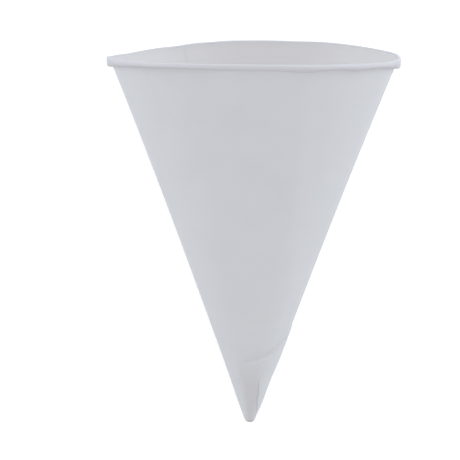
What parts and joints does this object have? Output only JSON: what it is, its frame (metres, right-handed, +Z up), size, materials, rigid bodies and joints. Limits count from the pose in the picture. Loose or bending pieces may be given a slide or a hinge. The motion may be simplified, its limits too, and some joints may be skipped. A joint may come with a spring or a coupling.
{
  "type": "cone paper cup",
  "caption": "Cone-shaped drinking cup wound from one sheet of paper, with a rolled rim, an oval-squeezed mouth and a crimped tip, lying on its side.",
  "frame": {"origin": "centre of the box round the cup, on the surface that it lies on", "axes": "+Z up; +Y along the surface, from the tip towards the mouth; X across the mouth's wide way"},
  "size_m": [0.0736, 0.0986, 0.0647],
  "materials": {
    "cup_paper": "matte uncoated white paper"
  },
  "bodies": {
    "root": {"cone_cup": "cup_paper"}
  },
  "joints": []
}
